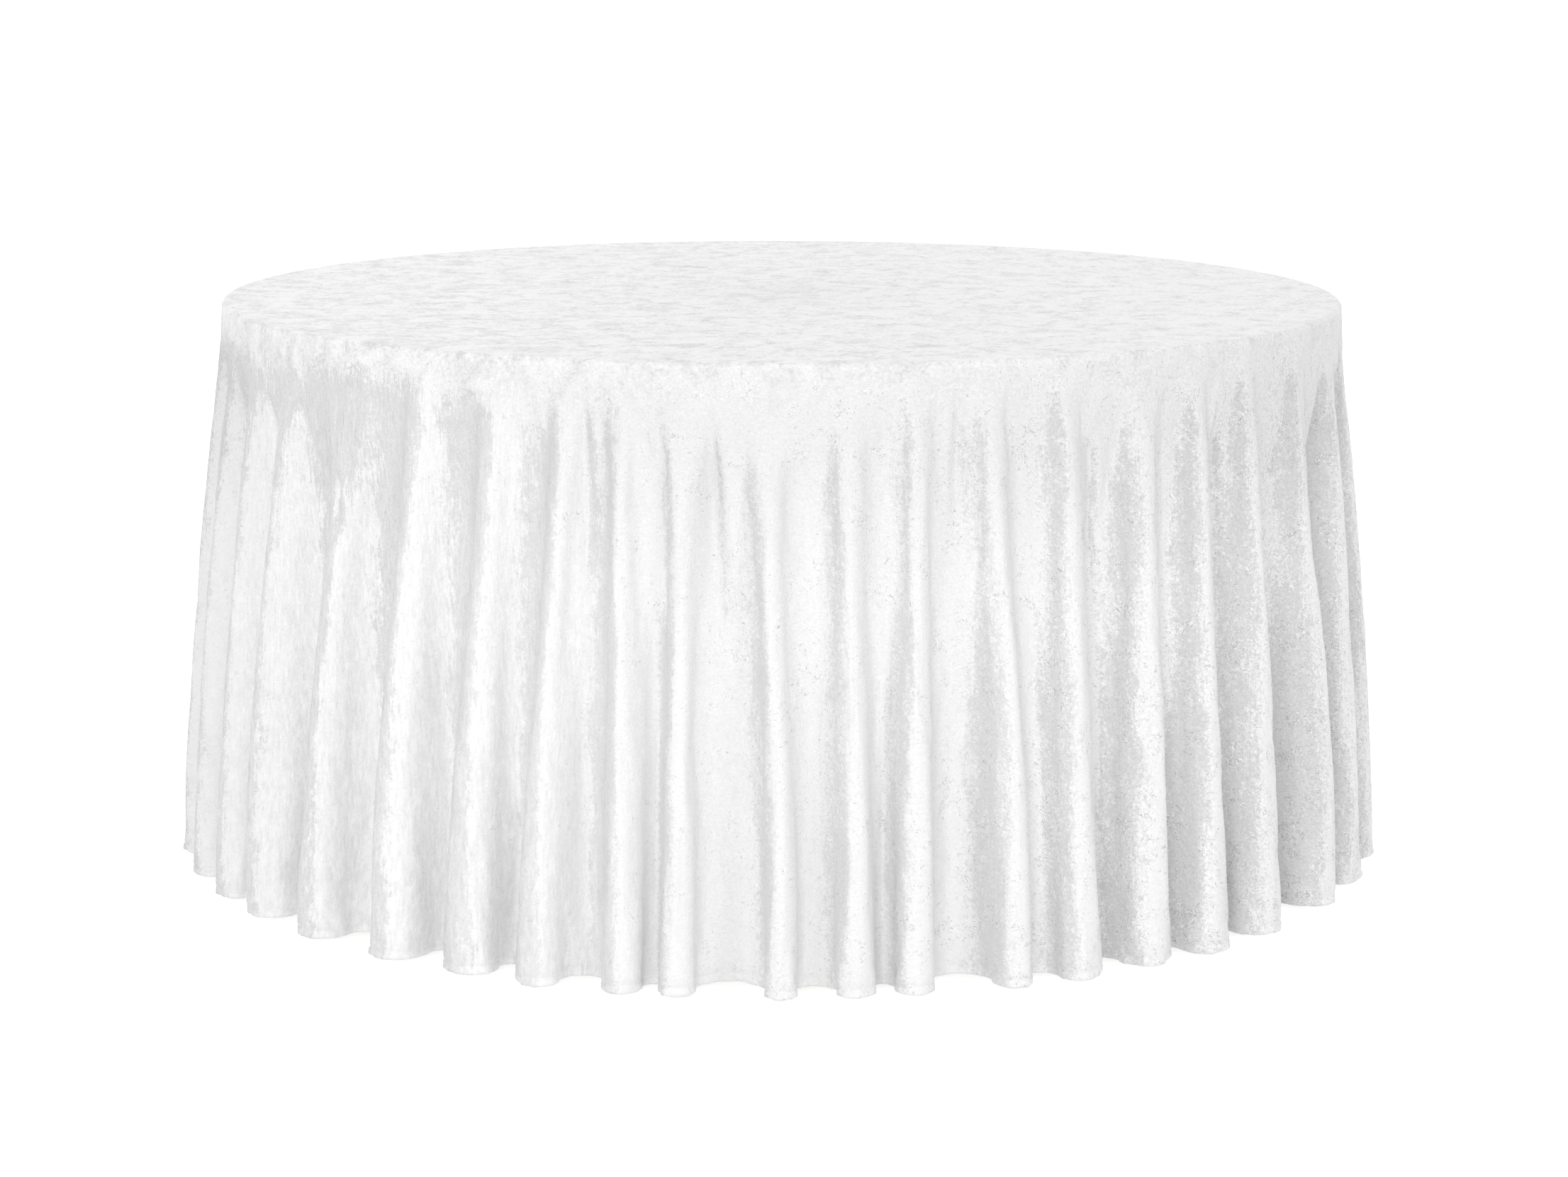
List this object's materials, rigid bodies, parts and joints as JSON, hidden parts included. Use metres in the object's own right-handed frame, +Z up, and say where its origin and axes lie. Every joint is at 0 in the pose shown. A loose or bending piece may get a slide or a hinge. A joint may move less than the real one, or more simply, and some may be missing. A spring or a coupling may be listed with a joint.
{
  "type": "tablecloth on a table",
  "caption": "Floor-length round velvet tablecloth falling in deep folds over a round folding banquet table with tubular leg frames.",
  "frame": {"origin": "on the floor under the middle of the table top", "axes": "+Z up, -Y the front, +X the right-hand side seen from the front"},
  "size_m": [1.6743, 1.6728, 0.7647],
  "materials": {
    "velvet": "crushed velvet, white",
    "plywood": "sealed plywood",
    "laminate": "satin laminate",
    "edging": "satin vinyl",
    "hardwood": "planed and sealed",
    "steel": "grey powder coat",
    "plate": "zinc plated",
    "screw": "bright zinc",
    "plastic": "moulded"
  },
  "bodies": {
    "table_top": {"top_board": "plywood", "top_laminate": "laminate", "edge_band": "edging", "runner_front": "hardwood", "runner_back": "hardwood", "right_pivot_bracket_front": "plate", "right_pivot_screw_front_outer": "screw", "right_pivot_screw_front_inner": "screw", "right_pivot_bracket_back": "plate", "right_pivot_screw_back_outer": "screw", "right_pivot_screw_back_inner": "screw", "right_brace_bracket": "plate", "right_brace_screw_front": "screw", "right_brace_screw_back": "screw", "left_pivot_bracket_front": "plate", "left_pivot_screw_front_outer": "screw", "left_pivot_screw_front_inner": "screw", "left_pivot_bracket_back": "plate", "left_pivot_screw_back_outer": "screw", "left_pivot_screw_back_inner": "screw", "left_brace_bracket": "plate", "left_brace_screw_front": "screw", "left_brace_screw_back": "screw"},
    "cloth": {"tablecloth": "velvet"},
    "right_leg_frame": {"right_leg_front": "steel", "right_leg_back": "steel", "right_pivot_tube": "steel", "right_brace_bar": "steel", "right_stretcher": "steel", "right_foot_front": "plastic", "right_foot_back": "plastic"},
    "right_brace_upper_link": {"right_brace_upper": "plate", "right_knee_rivet": "screw"},
    "right_brace_lower_link": {"right_brace_lower": "plate"},
    "left_leg_frame": {"left_leg_front": "steel", "left_leg_back": "steel", "left_pivot_tube": "steel", "left_brace_bar": "steel", "left_stretcher": "steel", "left_foot_front": "plastic", "left_foot_back": "plastic"},
    "left_brace_upper_link": {"left_brace_upper": "plate", "left_knee_rivet": "screw"},
    "left_brace_lower_link": {"left_brace_lower": "plate"}
  },
  "joints": [
    {"name": "right_leg_fold", "type": "hinge", "parent": "table_top", "child": "right_leg_frame", "pos_m": [0.42, 0, 0.707], "axis": [0, 1, 0], "range_deg": [0, 90]},
    {"name": "right_brace_upper_fold", "type": "hinge", "parent": "table_top", "child": "right_brace_upper_link", "pos_m": [0.18, 0, 0.731], "axis": [0, -1, 0], "range_deg": [0, 40.5]},
    {"name": "right_brace_lower_fold", "type": "hinge", "parent": "right_leg_frame", "child": "right_brace_lower_link", "pos_m": [0.42, 0, 0.527], "axis": [0, 1, 0], "range_deg": [0, 39]},
    {"name": "left_leg_fold", "type": "hinge", "parent": "table_top", "child": "left_leg_frame", "pos_m": [-0.42, 0, 0.677], "axis": [0, -1, 0], "range_deg": [0, 90]},
    {"name": "left_brace_upper_fold", "type": "hinge", "parent": "table_top", "child": "left_brace_upper_link", "pos_m": [-0.18, 0, 0.701], "axis": [0, 1, 0], "range_deg": [0, 40.5]},
    {"name": "left_brace_lower_fold", "type": "hinge", "parent": "left_leg_frame", "child": "left_brace_lower_link", "pos_m": [-0.42, 0, 0.497], "axis": [0, -1, 0], "range_deg": [0, 39]},
    {"name": "cloth_lift", "type": "slide", "parent": "table_top", "child": "cloth", "axis": [0, 0, 1], "range_m": [0, 0.8]}
  ],
  "couplings": [
    {"joint": "right_brace_upper_fold", "follows": "right_leg_fold", "ratio": 0.44845},
    {"joint": "right_brace_lower_fold", "follows": "right_leg_fold", "ratio": 0.43206},
    {"joint": "left_brace_upper_fold", "follows": "left_leg_fold", "ratio": 0.44845},
    {"joint": "left_brace_lower_fold", "follows": "left_leg_fold", "ratio": 0.43206}
  ]
}
